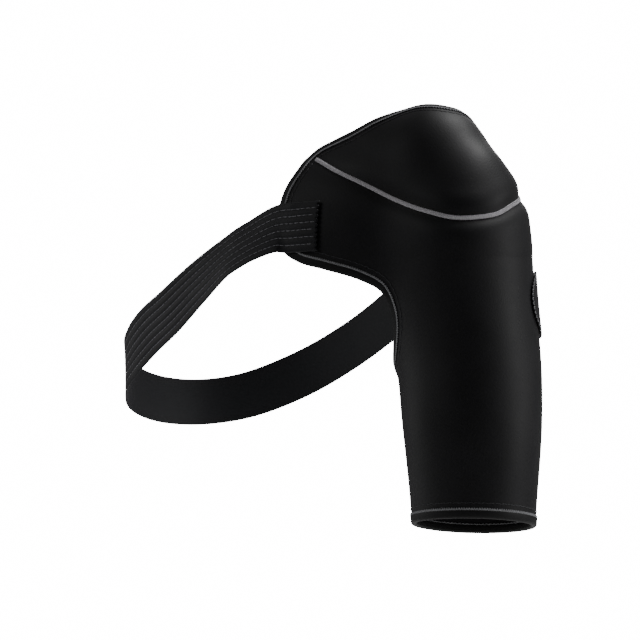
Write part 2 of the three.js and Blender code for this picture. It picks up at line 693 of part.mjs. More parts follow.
add("sleeve_panel", fromManifold(sleevePanel), 0x17171a, 0.85);
add("cap_panel", fromManifold(capPanel), 0x17171a, 0.85);
add("open_edge_binding", alongEdge(openLoop, bindingOutline()), 0x101013, 0.8);
add("hem_binding", alongEdge(hemLoop, bindingOutline()), 0x101013, 0.8);
add("cap_seam", fromManifold(seamBand), 0x9a9a9e, 0.7);
add("chest_strap", strapGeometry(), 0x1d1d22, 0.75);
add("strap_hook_pad", padGeometry(), 0x0d0d0f, 0.9);
add("closing_tab", tabGeometry(), 0x17171a, 0.85);

export default brace;
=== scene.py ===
import math

import bmesh
import bpy
import numpy as np
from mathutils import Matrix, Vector
from mathutils.kdtree import KDTree


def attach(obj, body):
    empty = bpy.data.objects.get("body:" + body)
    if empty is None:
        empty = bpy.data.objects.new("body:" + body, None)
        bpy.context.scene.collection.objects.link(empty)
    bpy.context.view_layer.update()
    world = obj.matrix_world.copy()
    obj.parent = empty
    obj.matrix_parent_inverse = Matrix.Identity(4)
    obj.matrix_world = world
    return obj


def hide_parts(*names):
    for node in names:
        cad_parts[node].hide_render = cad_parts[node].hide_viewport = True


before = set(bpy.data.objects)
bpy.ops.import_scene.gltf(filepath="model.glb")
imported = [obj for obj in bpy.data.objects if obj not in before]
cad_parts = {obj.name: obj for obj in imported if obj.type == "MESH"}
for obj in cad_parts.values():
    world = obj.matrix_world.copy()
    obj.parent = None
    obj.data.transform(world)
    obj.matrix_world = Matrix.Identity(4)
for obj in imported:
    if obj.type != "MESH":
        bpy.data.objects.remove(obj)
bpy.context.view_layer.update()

# The camera stands level with the sleeve, in front of the brace and to its outer side,
# far enough away for a long lens, as in a studio.
camera = bpy.data.objects.new("camera", bpy.data.cameras.new("camera"))
camera.data.lens = 160.65
camera.data.sensor_width = 36
camera.location = (1.6198, -1.7743, -0.1748)
look_at = Vector((-0.07725, -0.07725, -0.1748))
camera.rotation_euler = (look_at - camera.location).to_track_quat("-Z", "Y").to_euler()
bpy.context.scene.collection.objects.link(camera)
bpy.context.scene.camera = camera

# The sleeve panel is 3 mm neoprene foam with knitted nylon jersey on both faces. One cut
# piece makes the sleeve and both wings. It is stretched over the shoulder's own form,
# which is given here as rounded masses that run into each other, and a tube below them.
MM = 0.001
WALL = 3
SLEEVE_DROP = 343
HEM_RISE = 9.6
HEM_TURN = math.radians(53)
SLEEVE_BORE = 110
ARMPIT_DROP = 214
SHOULDER_DEPTH = 126
WING_REACH = 102
WING_DEPTH = 96
BLEND = 16
SLEEVE_ROWS = 84
YOKE_ROWS = 110
COLUMNS = 240
ARMPIT_COLUMNS = 40
EDGE_SAMPLES = 100
LINE_SAMPLES = 60

# out, back, down, half width, half depth, half height
MASSES = [
    (-0.032, 0.009, 0.615, 0.195, 0.22, 0.386),  # point of the shoulder
    (0.226, 0.027, 0.567, 0.285, 0.343, 0.356),  # bulge on the outside
    (-0.885, 0.133, 0.039, 0.243, 0.391, 0.161),  # ridge at the collar
    (-1.0, -0.2, 0.589, 0.82, 0.556, 0.452),  # front
    (-0.9, 0.36, 0.589, 0.76, 0.42, 0.46),  # rear
    (-0.112, 0.001, 0.221, 0.238, 0.276, 0.218),  # crown over the joint
    (-0.469, -0.164, 0.262, 0.22, 0.192, 0.197),  # saddle between the crown and the ridge
]
# down, out, back, radius
TUBE = [
    (0.36, 0.0, 0.02, 0.422),
    (0.57, 0.21, 0.0, 0.467),
    (0.75, 0.277, -0.05, 0.495),
    (1.0, 0.342, -0.11, 0.438),
    (1.12, 0.37, -0.13, 0.42),
]
# The open edge: in, back, down, from the armpit up the front and over to the back
OPEN_EDGE = [
    (0.32, 0, 1),
    (0.21, -0.37, 0.965),
    (0.145, -0.48, 0.9),
    (0.11, -0.55, 0.8),
    (0.185, -0.625, 0.705),
    (0.36, -0.74, 0.65),
    (0.607, -0.893, 0.611),
    (0.83, -0.967, 0.582),
    (0.985, -0.986, 0.537),
    (1.07, -0.955, 0.435),
    (1.09, -0.85, 0.31),
    (1.045, -0.735, 0.225),
    (1.02, -0.62, 0.165),
    (0.83, -0.53, 0.11),
    (0.61, -0.455, 0.062),
    (0.44, -0.34, 0.022),
    (0.34, -0.255, -0.006),
    (0.225, -0.183, -0.014),
    (0.11, -0.12, -0.016),
    (0.03, -0.02, -0.006),
    (0.01, 0.14, 0.005),
    (0.06, 0.34, 0.06),
    (0.19, 0.56, 0.145),
    (0.42, 0.75, 0.235),
    (0.78, 0.91, 0.31),
    (0.92, 1, 0.45),
    (0.84, 0.98, 0.56),
    (0.56, 0.88, 0.64),
    (0.3, 0.72, 0.72),
    (0.2, 0.58, 0.8),
    (0.2, 0.45, 0.9),
    (0.26, 0.3, 0.965),
]
FRONT_SPLIT = 3
FRONT_CORNER = 8
BACK_CORNER = 25
BACK_SPLIT = 29
# The cap's seam: out, back, down, from the front edge round the outside to the back edge
CAP_SEAM = [
    (-1.02, -0.56, 0.115),
    (-0.83, -0.556, 0.168),
    (-0.607, -0.55, 0.228),
    (-0.351, -0.466, 0.298),
    (-0.082, -0.406, 0.359),
    (0.16, -0.405, 0.395),
    (0.393, -0.319, 0.425),
    (0.53, -0.09, 0.413),
    (0.522, 0.098, 0.373),
    (0.45, 0.28, 0.34),
    (0.2, 0.46, 0.31),
    (-0.12, 0.57, 0.27),
    (-0.42, 0.66, 0.22),
    (-0.76, 0.72, 0.13),
]
SEAM_PINCH = 2.8  # how far the seam draws the foam in
PINCH_WIDTH = 6.5
SEAM_PUFF = 0.8  # how far the foam swells beside it
PUFF_PLACE = 15  # from the seam to where it swells most
PUFF_WIDTH = 9
BROAD_WAVE = 0.3  # the foam's soft unevenness
FINE_WAVE = 0.2

masses = [
    (
        np.array([out * SLEEVE_BORE, back * SHOULDER_DEPTH, -down * ARMPIT_DROP]),
        np.array([width * SLEEVE_BORE, depth * SHOULDER_DEPTH, height * ARMPIT_DROP]),
    )
    for out, back, down, width, depth, height in MASSES
]
tube_drop = np.array([row[0] * SLEEVE_DROP for row in TUBE])
tube_rows = np.array([row[1:] for row in TUBE]) * SLEEVE_BORE
tube_secants = np.diff(tube_rows, axis=0) / np.diff(tube_drop)[:, None]
tube_slopes = (tube_secants[:-1] + tube_secants[1:]) / 2
tube_slopes = np.vstack([tube_secants[:1], tube_slopes, tube_secants[-1:]])


def unit(vectors):
    return vectors / np.maximum(np.linalg.norm(vectors, axis=-1, keepdims=True), 1e-12)


def tube_at(drop):
    """The tube's middle and radius at depths below the shoulder seat."""
    drop = np.clip(drop, tube_drop[0], tube_drop[-1])
    row = np.clip(np.searchsorted(tube_drop, drop) - 1, 0, len(tube_drop) - 2)
    step = (tube_drop[row + 1] - tube_drop[row])[:, None]
    t = (drop - tube_drop[row])[:, None] / step
    ends = (2 * t**3 - 3 * t**2 + 1) * tube_rows[row] + (3 * t**2 - 2 * t**3) * tube_rows[row + 1]
    turn = (t**3 - 2 * t**2 + t) * tube_slopes[row] + (t**3 - t**2) * tube_slopes[row + 1]
    found = ends + step * turn
    return np.column_stack([found[:, :2], -drop]), found[:, 2]


def form_distance(points):
    """Roughly how far each point is outside the form."""
    total = 0
    for centre, half in masses:
        near = (points - centre) / half
        share = np.linalg.norm(near, axis=1)
        steep = np.maximum(np.linalg.norm(near / half, axis=1), 1e-9)
        total = total + np.exp(-share * (share - 1) / steep / BLEND)
    centre, radius = tube_at(np.maximum(-points[:, 2], tube_drop[0]))
    over = np.maximum(points[:, 2] + tube_drop[0], 0)
    beside = np.sqrt(((points - centre)[:, :2] ** 2).sum(axis=1) + over**2)
    return -BLEND * np.log(total + np.exp((radius - beside) / BLEND))


def form_slope(points):
    """The way straight out of the form at each point, times the slope of its distance."""
    steps = np.eye(3) * 0.5
    return np.column_stack([form_distance(points + s) - form_distance(points - s) for s in steps])


def on_form(points):
    """The points of the form nearest to some guesses."""
    points = np.array(points, float)
    for _ in range(12):
        slope = form_slope(points)
        points -= slope * (form_distance(points) / (slope**2).sum(axis=1))[:, None]
    return points


# The masses are moved up or down until the form's surface meets the seat, at the origin.
SEAT_ERROR = 1e-4
seat = -ARMPIT_DROP / 4
step = -seat
while step > SEAT_ERROR:
    if form_distance(np.array([[0, 0, seat + step]]))[0] < 0:
        seat += step
    step /= 2
for centre, _ in masses:
    centre[2] -= seat


def smooth_line(points, closed=False, samples=LINE_SAMPLES):
    """A dense line through points: a centripetal Catmull-Rom curve."""
    points = np.array(points, float)
    count = len(points)
    if closed:
        padded = np.vstack([points[-1:], points, points[:2]])
    else:
        padded = np.vstack([2 * points[:1] - points[1:2], points, 2 * points[-1:] - points[-2:-1]])
    t = np.arange(samples)[:, None] / samples
    pieces = []
    for i in range(count if closed else count - 1):
        a, b, c, d = padded[i : i + 4]
        ab, bc, cd = (max(np.linalg.norm(q - p), 1e-6) ** 0.5 for p, q in ((a, b), (b, c), (c, d)))
        start = bc * ((b - a) / ab - (c - a) / (ab + bc) + (c - b) / bc)
        end = bc * ((c - b) / bc - (d - b) / (bc + cd) + (d - c) / cd)
        square = 3 * (c - b) - 2 * start - end
        cube = 2 * (b - c) + start + end
        pieces.append(b + start * t + square * t**2 + cube * t**3)
    pieces.append(points[:1] if closed else points[-1:])
    return np.vstack(pieces)


def along(line, shares):
    """Places on a line, by share of its length."""
    lengths = np.concatenate([[0], np.cumsum(np.linalg.norm(np.diff(line, axis=0), axis=1))])
    at = np.clip(shares, 0, 1) * lengths[-1]
    return np.column_stack([np.interp(at, lengths, line[:, k]) for k in range(3)])


def length_of(line):
    return np.linalg.norm(np.diff(line, axis=0), axis=1).sum()


edge_points = np.array(OPEN_EDGE) * [-WING_REACH, WING_DEPTH, -ARMPIT_DROP]
open_edge = smooth_line(on_form(edge_points), closed=True, samples=EDGE_SAMPLES)


def edge_stretch(first, last):
    """The stretch of the open edge from one row of its table to another."""
    way = 1 if first < last else -1
    rows = np.arange(first * EDGE_SAMPLES, last * EDGE_SAMPLES + way, way)
    return open_edge[rows % (len(open_edge) - 1)]


under_front = edge_stretch(0, FRONT_SPLIT)
front_edge = edge_stretch(FRONT_SPLIT, FRONT_CORNER)
top_edge = edge_stretch(FRONT_CORNER, BACK_CORNER)
back_edge = edge_stretch(BACK_SPLIT, BACK_CORNER)
under_back = edge_stretch(len(OPEN_EDGE), BACK_SPLIT)
split = 1 - 2 * ARMPIT_COLUMNS / COLUMNS


def angle_around(points, side):
    """Each point's angle round the tube, counted on past the armpit for its side."""
    centre, _ = tube_at(-points[:, 2])
    angle = np.arctan2(points[:, 1] - centre[:, 1], points[:, 0] - centre[:, 0])
    return np.where(angle * side < -math.pi / 2, angle + side * 2 * math.pi, angle)


def beside_tube(angle, drop):
    """Places on the form at angles round the tube and depths below the seat."""
    centre, radius = tube_at(drop)
    return on_form(centre + np.column_stack([np.cos(angle), np.sin(angle), 0 * angle]) * radius[:, None])


def sleeve_top(around):
    """The sleeve's top, the open edge at the armpit and a ring round the rest, and its side."""
    share = np.abs(around)
    side = np.where(around < 0, -1, 1)
    down = np.clip((1 - share) / (1 - split), 0, 1)
    under = np.where(around[:, None] < 0, along(under_front, down), along(under_back, down))
    ends = np.vstack([front_edge[:1], back_edge[:1]])
    end_angle = np.where(around < 0, angle_around(ends[:1], -1), angle_around(ends[1:], 1))
    across = np.clip(around / split, -1, 1)
    drop = -ends[0, 2] + (ends[0, 2] - ends[1, 2]) * (across + 1) / 2
    ring = beside_tube(np.abs(across) * end_angle, drop)
    return np.where(share[:, None] >= split, under, ring), side


def sleeve_row(up):
    """A row of places round the sleeve, from the slanted hem at 0 to the top at 1."""
    around = np.linspace(-1, 1, COLUMNS + 1)
    top, side = sleeve_top(around)
    angle = math.pi * around * (1 - up) + angle_around(top, side) * up
    hem = SLEEVE_DROP - HEM_RISE * np.cos(angle + HEM_TURN)
    return top if up == 1 else beside_tube(angle, hem * (1 - up) - top[:, 2] * up)


core = np.array([-0.2 * SLEEVE_BORE, 0, -0.51 * ARMPIT_DROP])
FARTHEST = 344  # past every place on the form, from its core
HALVINGS = 40


def cast_on_form(guesses):
    """The points of the form on the rays from its core through some guesses."""
    rays = unit(guesses - core)
    low, high = np.zeros(len(rays)), np.full(len(rays), float(FARTHEST))
    for _ in range(HALVINGS):
        reach = (low + high) / 2
        inside = form_distance(core + rays * reach[:, None]) < 0
        low, high = np.where(inside, reach, low), np.where(inside, high, reach)
    return core + rays * low[:, None]


def yoke_row(up):
    """A row of places over the shoulder and both wings, from the sleeve's top at 0 to the collar."""
    around = np.linspace(-split, split, COLUMNS - 2 * ARMPIT_COLUMNS + 1)
    share = (np.abs(around) / split)[:, None]
    front = around[:, None] < 0
    ring_middle = sleeve_top(np.zeros(1))[0]
    start = unit(ring_middle - core)[0]
    end = unit(along(top_edge, np.array([0.5])) - core)[0]
    turn = math.acos(start @ end)
    middle = cast_on_form(core + (start * math.sin((1 - up) * turn) + end * math.sin(up * turn))[None])
    at = np.array([up])
    sides = np.where(front, along(front_edge, at), along(back_edge, at))
    low = np.where(front, front_edge[:1], back_edge[:1])
    high = np.where(front, top_edge[:1], top_edge[-1:])
    centre = along(top_edge, np.array([0.5]))
    top = along(top_edge, (1 + around / split) / 2)
    inner_corners = (1 - up) * ring_middle + up * centre
    outer_corners = (1 - up) * low + up * high
    corners = (1 - share) * inner_corners + share * outer_corners
    guess = (1 - up) * sleeve_top(around)[0] + up * top + (1 - share) * middle + share * sides - corners
    return cast_on_form(guess)


seam_points = np.array(CAP_SEAM) * [SLEEVE_BORE, SHOULDER_DEPTH, -ARMPIT_DROP]
seam_line = on_form(smooth_line(on_form(seam_points)))


def nearest(line, points):
    """The row of the line that lies nearest to each point."""
    tree = KDTree(len(line))
    for i, place in enumerate(line):
        tree.insert(place, i)
    tree.balance()
    return np.array([tree.find(p)[1] for p in points])


seam_normals = unit(form_slope(seam_line))
seam_sides = unit(np.cross(np.gradient(seam_line, axis=0), seam_normals))
if seam_sides[len(seam_sides) // 2, 2] < 0:
    seam_sides = -seam_sides


def from_seam(points):
    """How far points are from the seam, more than zero towards the cap, and where along it."""
    row = nearest(seam_line, points)
    away = points - seam_line[row]
    side = np.sign((away * seam_sides[row]).sum(axis=1))
    return np.linalg.norm(away, axis=1) * side, row / len(seam_line)


def dent(points):
    """How far the neoprene stands off its form: drawn in by the seam, and softly uneven.

    The seam is firmest round the outside, and slack where it ends.
    """
    far, place = from_seam(points)
    firm = np.clip(0.35 + 1.3 * place, 0, 1) * np.clip((1 - place) * 6, 0, 1)
    pull = -SEAM_PINCH * firm * np.exp(-((far / PINCH_WIDTH) ** 2))
    puff = SEAM_PUFF * firm * np.exp(-(((np.abs(far) - PUFF_PLACE) / PUFF_WIDTH) ** 2))
    x, y, z = points.T
    broad = BROAD_WAVE * np.sin(x / 17 + y / 23 + 1) * np.sin(z / 29 + x / 41)
    fine = FINE_WAVE * np.sin(y / 11 - z / 19)
    return pull + puff + broad + fine


def cloth(points, height=0.0):
    """Places on the neoprene, at a height over its inner face."""
    points = on_form(points)
    lift = dent(points) + height
    return points + unit(form_slope(points)) * lift[:, None]


def lay(rows, uv=None, closed=False):
    """A bmesh grid laid onto rows of points in millimetres. Doubled points are merged."""
    count, width = rows.shape[:2]
    bm = bmesh.new()
    bmesh.ops.create_grid(bm, x_segments=width - 1, y_segments=count - 1, size=1)
    layer = bm.loops.layers.uv.verify()
    bm.verts.ensure_lookup_table()
    bm.verts.index_update()
    for vert, place in zip(bm.verts, rows.reshape(-1, 3)):
        vert.co = Vector(place) * MM
    if uv is not None:
        marks = uv.reshape(-1, 2)
        for face in bm.faces:
            for loop in face.loops:
                loop[layer].uv = marks[loop.vert.index]
    bmesh.ops.remove_doubles(bm, verts=bm.verts, dist=0.02 * MM)
    if closed:
        bmesh.ops.recalc_face_normals(bm, faces=bm.faces)
    return bm


def finish(name, bm, material, smooth=True):
    """The bmesh as an object that shows in the scene."""
    mesh = bpy.data.meshes.new(name)
    bm.to_mesh(mesh)
    bm.free()
    if smooth:
        mesh.shade_smooth()
    mesh.materials.append(material)
    obj = bpy.data.objects.new(name, mesh)
    bpy.context.scene.collection.objects.link(obj)
    return obj


def srgb(code):
    """A hex colour as linear red, green, blue and alpha."""
    parts = [int(code[i : i + 2], 16) / 255 for i in (1, 3, 5)]
    return [c / 12.92 if c <= 0.04045 else ((c + 0.055) / 1.055) ** 2.4 for c in parts] + [1]


def add_node(tree, kind, values=(), links=(), **settings):
    """Adds a node with its settings, socket values and incoming links."""
    made = tree.nodes.new(kind)
    for key, value in settings.items():
        setattr(made, key, value)
    for socket, value in dict(values).items():
        made.inputs[socket].default_value = value
    for socket, output in dict(links).items():
        tree.links.new(output, made.inputs[socket])
    return made


def blank_material(name):
    """A new material, its node tree and its shader."""
    material = bpy.data.materials.new(name)
    material.use_nodes = True
    tree = material.node_tree
    return material, tree, tree.nodes["Principled BSDF"]


# Knitted nylon jersey over neoprene foam: near black, with a fine stitch grain that is
# drawn at 1.5 mm so that it shows, and hardly any sheen.
jersey, tree, shader = blank_material("knitted_jersey_on_neoprene")
place = add_node(tree, "ShaderNodeTexCoord")
at = {"Vector": place.outputs["Object"]}
grain = add_node(tree, "ShaderNodeTexVoronoi", {"Scale": 1 / (1.5 * MM), "Randomness": 0.7}, at)
fuzz = add_node(tree, "ShaderNodeTexNoise", {"Scale": 1 / (0.9 * MM), "Detail": 3}, at)
patches = add_node(tree, "ShaderNodeTexNoise", {"Scale": 1 / (28 * MM), "Detail": 4}, at)
mixed = add_node(
    tree,
    "ShaderNodeMath",
    {2: 0.3},
    {0: fuzz.outputs["Fac"], 1: patches.outputs["Fac"]},
    operation="MULTIPLY_ADD",
)
tone = add_node(tree, "ShaderNodeValToRGB", links={"Fac": mixed.outputs[0]})
tone.color_ramp.elements[0].position = 0.35
tone.color_ramp.elements[0].color = srgb("#09080b")
tone.color_ramp.elements[1].position = 0.75
tone.color_ramp.elements[1].color = srgb("#17161a")
rough = add_node(
    tree, "ShaderNodeMapRange", {"To Min": 0.5, "To Max": 0.62}, {"Value": patches.outputs["Fac"]}
)
knit = add_node(
    tree, "ShaderNodeBump", {"Strength": 0.3, "Distance": 0.2 * MM}, {"Height": grain.outputs["Distance"]}
)
bump = add_node(
    tree,
    "ShaderNodeBump",
    {"Strength": 0.25, "Distance": 0.12 * MM},
    {"Height": fuzz.outputs["Fac"], "Normal": knit.outputs["Normal"]},
)
tree.links.new(tone.outputs["Color"], shader.inputs["Base Color"])
tree.links.new(rough.outputs["Result"], shader.inputs["Roughness"])
tree.links.new(bump.outputs["Normal"], shader.inputs["Normal"])
shader.inputs["Sheen Weight"].default_value = 0.03
shader.inputs["Sheen Roughness"].default_value = 0.4
shader.inputs["Specular IOR Level"].default_value = 0.3

sleeve_rows = np.array([sleeve_row(j / SLEEVE_ROWS) for j in range(SLEEVE_ROWS + 1)])
yoke_rows = np.array([yoke_row(j / YOKE_ROWS) for j in range(YOKE_ROWS + 1)])
yoke_rows[0] = sleeve_rows[-1, ARMPIT_COLUMNS : COLUMNS - ARMPIT_COLUMNS + 1]

# Above the seam each column of the yoke belongs to the cap. The corners of its faces that
# lie near the seam are moved onto it.
SNAP = 6
LOWEST_SEAM_ROW = 8
shape = yoke_rows.shape[:2]
far, _ = from_seam(yoke_rows.reshape(-1, 3))
far = far.reshape(shape)
high_enough = np.arange(shape[0])[:, None] > LOWEST_SEAM_ROW
crossed = np.cumsum((far > 0) & (far < 2 * SNAP) & high_enough, axis=0) > 0
corners_in_cap = crossed[:-1, :-1].astype(int) + crossed[1:, :-1] + crossed[:-1, 1:] + crossed[1:, 1:]
face_in_cap = corners_in_cap >= 2
snapped = yoke_rows.copy()
in_cap = np.zeros((shape[0] + 1, shape[1] + 1), bool)
in_cap[1:-1, 1:-1] = face_in_cap
in_cap[0, 1:-1], in_cap[-1, 1:-1] = face_in_cap[0], face_in_cap[-1]
in_cap[:, 0], in_cap[:, -1] = in_cap[:, 1], in_cap[:, -2]
around_each = in_cap[:-1, :-1].astype(int) + in_cap[1:, :-1] + in_cap[:-1, 1:] + in_cap[1:, 1:]
on_line = (around_each > 0) & (around_each < 4) & (np.abs(far) < SNAP)
snapped[on_line] = seam_line[nearest(seam_line, yoke_rows[on_line])]


def shell_panel(name, keep, with_sleeve):
    """The faces of the yoke that keep marks, with the sleeve below them or without."""
    outer = cloth(snapped.reshape(-1, 3), WALL).reshape(*shape, 3)
    bm = lay(outer)
    bm.faces.ensure_lookup_table()
    spare = [bm.faces[i] for i in np.flatnonzero(~keep.reshape(-1))]
    bmesh.ops.delete(bm, geom=spare, context="FACES")
    if with_sleeve:
        sleeve = lay(cloth(sleeve_rows.reshape(-1, 3), WALL).reshape(*sleeve_rows.shape))
        spare_mesh = bpy.data.meshes.new("spare")
        sleeve.to_mesh(spare_mesh)
        sleeve.free()
        bm.from_mesh(spare_mesh)
        bpy.data.meshes.remove(spare_mesh)
        bmesh.ops.remove_doubles(bm, verts=bm.verts, dist=0.05 * MM)
    bmesh.ops.recalc_face_normals(bm, faces=bm.faces)
    highest = max(bm.faces, key=lambda f: (f.calc_center_median() - Vector(core) * MM).length)
    if highest.normal.dot(highest.calc_center_median() - Vector(core) * MM) < 0:
        bmesh.ops.reverse_faces(bm, faces=bm.faces)
    obj = finish(name, bm, jersey)
    wall = obj.modifiers.new("wall", "SOLIDIFY")
    wall.thickness = WALL * MM
    wall.offset = -1
    wall.use_even_offset = False
    return obj


sleeve = shell_panel("sleeve", ~face_in_cap, True)
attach(sleeve, "root")
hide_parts("sleeve_panel")

# The cap panel is a domed piece of the same neoprene over the top of the shoulder, butted
# to the sleeve panel along the flat seam.
cap = shell_panel("cap", face_in_cap, False)
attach(cap, "root")
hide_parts("cap_panel")

# Edge tape: black stretch nylon, folded over the raw edge of the neoprene and sewn down
# through all layers. It runs round the whole open edge, and round the hem.
TAPE_WIDTH = 5.2
FOLD = 2.3
TAPE_THICKNESS = 0.9
TAPE_STEP = 2.2
WAVE_BAND = math.pi / 10  # from band to band in a wave texture of scale 1

# Dull black stretch nylon with fine cross ribs.
edge_tape, tree, shader = blank_material("stretch_edge_tape")
place = add_node(tree, "ShaderNodeUVMap", uv_map="UVMap")
ribs = add_node(
    tree,
    "ShaderNodeTexWave",
    {"Scale": WAVE_BAND / 1.131, "Distortion": 1.5, "Detail": 2},
    {"Vector": place.outputs["UV"]},
    bands_direction="X",
)
bump = add_node(
    tree, "ShaderNodeBump", {"Strength": 0.35, "Distance": 0.15 * MM}, {"Height": ribs.outputs["Fac"]}
)
tone = add_node(tree, "ShaderNodeValToRGB", links={"Fac": ribs.outputs["Fac"]})
tone.color_ramp.elements[0].color = srgb("#08080a")
tone.color_ramp.elements[1].color = srgb("#111114")
tree.links.new(tone.outputs["Color"], shader.inputs["Base Color"])
tree.links.new(bump.outputs["Normal"], shader.inputs["Normal"])
shader.inputs["Roughness"].default_value = 0.6
shader.inputs["Sheen Weight"].default_value = 0.02
shader.inputs["Specular IOR Level"].default_value = 0.3


def stations(line, step, closed=False):
    """Even places along a line on the form, with the line's way, the form's way out and the side."""
    count = max(int(round(length_of(line) / step)), 2)
    places = on_form(along(line, np.linspace(0, 1, count + 1)))
    if closed:
        places[-1] = places[0]
        tangents = unit(np.roll(places[:-1], -1, axis=0) - np.roll(places[:-1], 1, axis=0))
        tangents = np.vstack([tangents, tangents[:1]])
    else:
        tangents = unit(np.gradient(places, axis=0))
    normals = unit(form_slope(places))
    return places, tangents, normals, unit(np.cross(tangents, normals))


def sweep(line, step, outline, closed, turned=False):
    """An outline swept along a line: places sideways over the cloth, and heights over its inner face."""
    places, _, _, sides = stations(line, step, closed)
    if turned:
        sides = -sides
    rows = np.stack([cloth(places + sides * x, y) for x, y in outline], axis=1)
    length = np.linspace(0, length_of(line), len(places))
    girth = np.concatenate([[0], np.cumsum(np.linalg.norm(np.diff(np.array(outline), axis=0), axis=1))])
    uv = np.stack(np.meshgrid(length, girth, indexing="ij"), axis=-1)
    if not closed:
        middle = rows.mean(axis=1, keepdims=True)
        caps = middle.repeat(len(outline), 1)
        rows = np.concatenate([caps[:1], rows, caps[-1:]])
        uv = np.concatenate([uv[:1], uv, uv[-1:]])
    return lay(rows, uv, closed=True)


def tape_outline():
    """The folded tape's outline: over the outer face, round the raw edge and back inside."""
    turn = np.linspace(math.pi / 2, -math.pi / 2, 9)
    half = WALL / 2 + TAPE_THICKNESS
    over = [
        (-TAPE_WIDTH, WALL + 0.1),
        (-TAPE_WIDTH, WALL + 0.75 * TAPE_THICKNESS),
        (-TAPE_WIDTH + 0.5, WALL + TAPE_THICKNESS),
        (-4.5, WALL + TAPE_THICKNESS * 1.1),
        (-2, WALL + TAPE_THICKNESS),
    ]
    fold = [(FOLD * math.cos(a), WALL / 2 + half * math.sin(a)) for a in turn]
    under = [(-2, -TAPE_THICKNESS), (-4.5, -TAPE_THICKNESS * 1.1)]
    under += [(x, WALL - y) for x, y in over[2::-1]]
    inner = [(-0.4, -0.1), (0.1, WALL * 0.2), (0.1, WALL * 0.8), (-0.4, WALL + 0.1)]
    return over + fold + under + inner + over[:1]


def outward(line, guess):
    """Whether a sweep's sides have to be turned to point away from the cloth."""
    places, _, _, sides = stations(line, 10, True)
    row = np.argmax(places @ guess)
    return sides[row] @ guess < 0


edge_turned = outward(open_edge, np.array([-1, 0, 0.3]))
edge_sweep = sweep(open_edge, TAPE_STEP, tape_outline(), True, edge_turned)
binding = finish("edge_binding", edge_sweep, edge_tape)
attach(binding, "root")
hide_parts("open_edge_binding")

hem_line = np.vstack([sleeve_rows[0][:-1], sleeve_rows[0][:1]])
hem_turned = outward(hem_line, np.array([0, 0, -1]))
hem_sweep = sweep(hem_line, TAPE_STEP, tape_outline(), True, hem_turned)
hem = finish("sleeve_hem", hem_sweep, edge_tape)
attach(hem, "root")
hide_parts("hem_binding")

# The tapes are held by a coverstitch of light grey polyester thread, which zigzags over the
# tape's rim outside and inside. A darker second row runs on the cloth beside it. The thread
# is dull, and mottled by its twist.
OVERLAP = 1.12  # how much longer a stitch is than its own step
thread, tree, shader = blank_material("grey_polyester_thread")
place = add_node(tree, "ShaderNodeTexCoord")
twist = add_node(
    tree,
    "ShaderNodeTexNoise",
    {"Scale": 1 / (0.8 * MM), "Detail": 2},
    {"Vector": place.outputs["Object"]},
)
tone = add_node(tree, "ShaderNodeValToRGB", links={"Fac": twist.outputs["Fac"]})
tone.color_ramp.elements[0].position = 0.3
tone.color_ramp.elements[0].color = srgb("#6f7173")
tone.color_ramp.elements[1].position = 0.75
tone.color_ramp.elements[1].color = srgb("#9c9ca0")
bump = add_node(
    tree, "ShaderNodeBump", {"Strength": 0.3, "Distance": 0.1 * MM}, {"Height": twist.outputs["Fac"]}
)
tree.links.new(tone.outputs["Color"], shader.inputs["Base Color"])
tree.links.new(bump.outputs["Normal"], shader.inputs["Normal"])
shader.inputs["Roughness"].default_value = 0.6
shader.inputs["Sheen Weight"].default_value = 0.03


def dyed_thread(name, dark, light):
    """The same thread in other greys."""
    dyed = thread.copy()
    dyed.name = name
    stops = dyed.node_tree.nodes["Color Ramp"].color_ramp.elements
    stops[0].color = srgb(dark)
    stops[1].color = srgb(light)
    return dyed


def stitches(name, rows, material, width, thick):
    """A row of stitches: each is a bead of thread between two places, with its own up direction.

    The beads are copies of one, as making thousands with the operator would take minutes.
    """
    seed = bmesh.new()
    bmesh.ops.create_uvsphere(seed, u_segments=6, v_segments=5, radius=0.5)
    seed.verts.index_update()
    bead = np.array([v.co for v in seed.verts])
    faces = [[v.index for v in f.verts] for f in seed.faces]
    seed.free()
    starts, ends, ups = rows
    lengths = np.linalg.norm(ends - starts, axis=1)[:, None, None]
    ways = unit(ends - starts)
    sides = unit(np.cross(ups, ways))
    ups = np.cross(ways, sides)
    places = ((starts + ends) / 2)[:, None] + sides[:, None] * bead[None, :, :1] * width
    places = places + ups[:, None] * bead[None, :, 1:2] * thick
    places = places + ways[:, None] * bead[None, :, 2:] * lengths * OVERLAP
    every = [[i * len(bead) + k for k in face] for i in range(len(starts)) for face in faces]
    mesh = bpy.data.meshes.new(name)
    mesh.from_pydata((places.reshape(-1, 3) * MM).tolist(), [], every)
    bm = bmesh.new()
    bm.from_mesh(mesh)
    bpy.data.meshes.remove(mesh)
    obj = finish(name, bm, material)
    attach(obj, "root")
    return obj


def stitch_run(line, pitch, low, high, height, closed, turned=False):
    """Stitches that zigzag along a line, between two distances to its side."""
    places, _, normals, sides = stations(line, pitch, closed)
    if turned:
        sides = -sides
    zigzag = np.where(np.arange(len(places)) % 2, high, low)[:, None]
    dots = cloth(places + sides * zigzag, height)
    return dots[:-1], dots[1:], normals[:-1]


dark_thread = dyed_thread("black_polyester_thread", "#1c1c20", "#303036")

